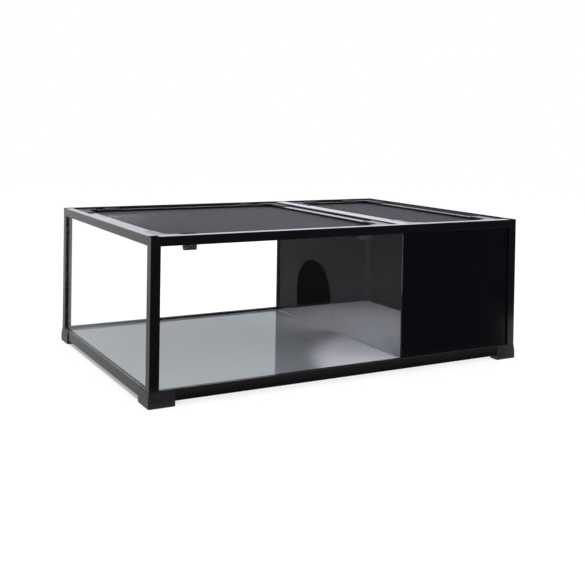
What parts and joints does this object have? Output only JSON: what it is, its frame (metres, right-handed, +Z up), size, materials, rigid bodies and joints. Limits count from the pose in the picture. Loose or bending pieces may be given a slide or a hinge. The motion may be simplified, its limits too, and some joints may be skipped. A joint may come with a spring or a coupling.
{
  "type": "tortoise house",
  "caption": "Low glass-walled tortoise house in a black frame, with hinged screen lids, corner feet and a dark hide room behind an arched doorway.",
  "frame": {"origin": "on the ground, under the middle of the tank's length and depth", "axes": "+X along the length towards the hide room, -Y towards the front, +Z up"},
  "size_m": [1.2268, 0.8198, 0.438],
  "materials": {
    "frame_plastic": "satin black, drawn along the rail",
    "lid_plastic": "satin black",
    "foot_plastic": "fine-grained black moulding",
    "latch_plastic": "satin black moulding",
    "clear_glass": "clear, polished",
    "hide_panel": "smooth black sheet",
    "floor_panel": "glossy dark grey sheet",
    "screen": "fine woven wire, dark grey",
    "pin_steel": "drawn steel wire"
  },
  "bodies": {
    "tank": {"front_bottom_rail": "frame_plastic", "back_bottom_rail": "frame_plastic", "left_bottom_rail": "frame_plastic", "right_bottom_rail": "frame_plastic", "post_front_left": "frame_plastic", "post_front_right": "frame_plastic", "post_back_left": "frame_plastic", "post_back_right": "frame_plastic", "front_top_rail": "frame_plastic", "back_top_rail": "frame_plastic", "left_top_rail": "frame_plastic", "right_top_rail": "frame_plastic", "top_corner_front_left": "frame_plastic", "top_corner_front_right": "frame_plastic", "top_corner_back_left": "frame_plastic", "top_corner_back_right": "frame_plastic", "foot_front_left": "foot_plastic", "foot_front_right": "foot_plastic", "foot_back_left": "foot_plastic", "foot_back_right": "foot_plastic", "front_glass": "clear_glass", "left_glass": "clear_glass", "back_glass": "clear_glass", "front_hide_panel": "hide_panel", "right_hide_panel": "hide_panel", "back_hide_panel": "hide_panel", "floor_panel": "floor_panel", "crossbar": "frame_plastic", "divider": "clear_glass", "divider_front_channel": "frame_plastic", "divider_back_channel": "frame_plastic"},
    "large_lid": {"large_lid_front_rail": "lid_plastic", "large_lid_back_rail": "lid_plastic", "large_lid_left_rail": "lid_plastic", "large_lid_right_rail": "lid_plastic", "large_lid_corner_front_left": "lid_plastic", "large_lid_corner_front_right": "lid_plastic", "large_lid_corner_back_left": "lid_plastic", "large_lid_corner_back_right": "lid_plastic", "large_lid_screen": "screen", "large_lid_hinge_leaf_left": "lid_plastic", "large_lid_hinge_leaf_right": "lid_plastic", "large_lid_hinge_pin_left": "pin_steel", "large_lid_hinge_pin_right": "pin_steel"},
    "small_lid": {"small_lid_front_rail": "lid_plastic", "small_lid_back_rail": "lid_plastic", "small_lid_left_rail": "lid_plastic", "small_lid_right_rail": "lid_plastic", "small_lid_corner_front_left": "lid_plastic", "small_lid_corner_front_right": "lid_plastic", "small_lid_corner_back_left": "lid_plastic", "small_lid_corner_back_right": "lid_plastic", "small_lid_screen": "screen", "small_lid_hinge_leaf_left": "lid_plastic", "small_lid_hinge_leaf_right": "lid_plastic", "small_lid_hinge_pin_left": "pin_steel", "small_lid_hinge_pin_right": "pin_steel"},
    "latch_left": {"latch_left": "latch_plastic"},
    "latch_right": {"latch_right": "latch_plastic"}
  },
  "joints": [
    {"name": "large_lid_hinge", "type": "hinge", "parent": "tank", "child": "large_lid", "pos_m": [-0.2095, 0.3865, 0.434], "axis": [-1, 0, 0], "range_deg": [0, 100]},
    {"name": "small_lid_hinge", "type": "hinge", "parent": "tank", "child": "small_lid", "pos_m": [0.3995, 0.3865, 0.434], "axis": [-1, 0, 0], "range_deg": [0, 100]},
    {"name": "latch_left_slide", "type": "slide", "parent": "large_lid", "child": "latch_left", "axis": [0, -1, 0], "range_m": [0, 0.008]},
    {"name": "latch_right_slide", "type": "slide", "parent": "large_lid", "child": "latch_right", "axis": [0, -1, 0], "range_m": [0, 0.008]}
  ]
}
